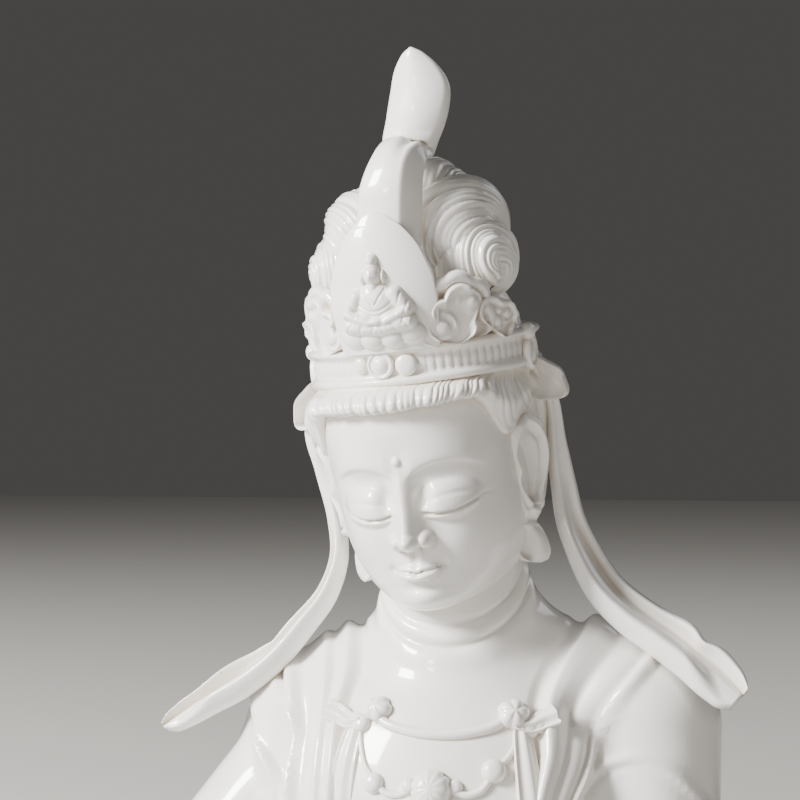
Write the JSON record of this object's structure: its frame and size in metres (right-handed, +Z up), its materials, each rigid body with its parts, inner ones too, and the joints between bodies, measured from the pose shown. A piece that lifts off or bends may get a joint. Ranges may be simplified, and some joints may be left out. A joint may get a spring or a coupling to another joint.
{
  "type": "guanyin figure",
  "caption": "White glazed porcelain bust of a guanyin with a tall crown, falling ribbons, an open robe and a beaded necklace, cut flat below to stand by itself.",
  "frame": {"origin": "on the flat cut under the chest, below the middle between the shoulders", "axes": "+Z up to the tip of the crown's tall leaf, -Y the way the chest faces, +X to the figure's left"},
  "size_m": [0.2375, 0.1344, 0.3161],
  "materials": {
    "porcelain": "white glazed porcelain, glossy"
  },
  "bodies": {
    "root": {"guanyin_bust": "porcelain"}
  },
  "joints": []
}
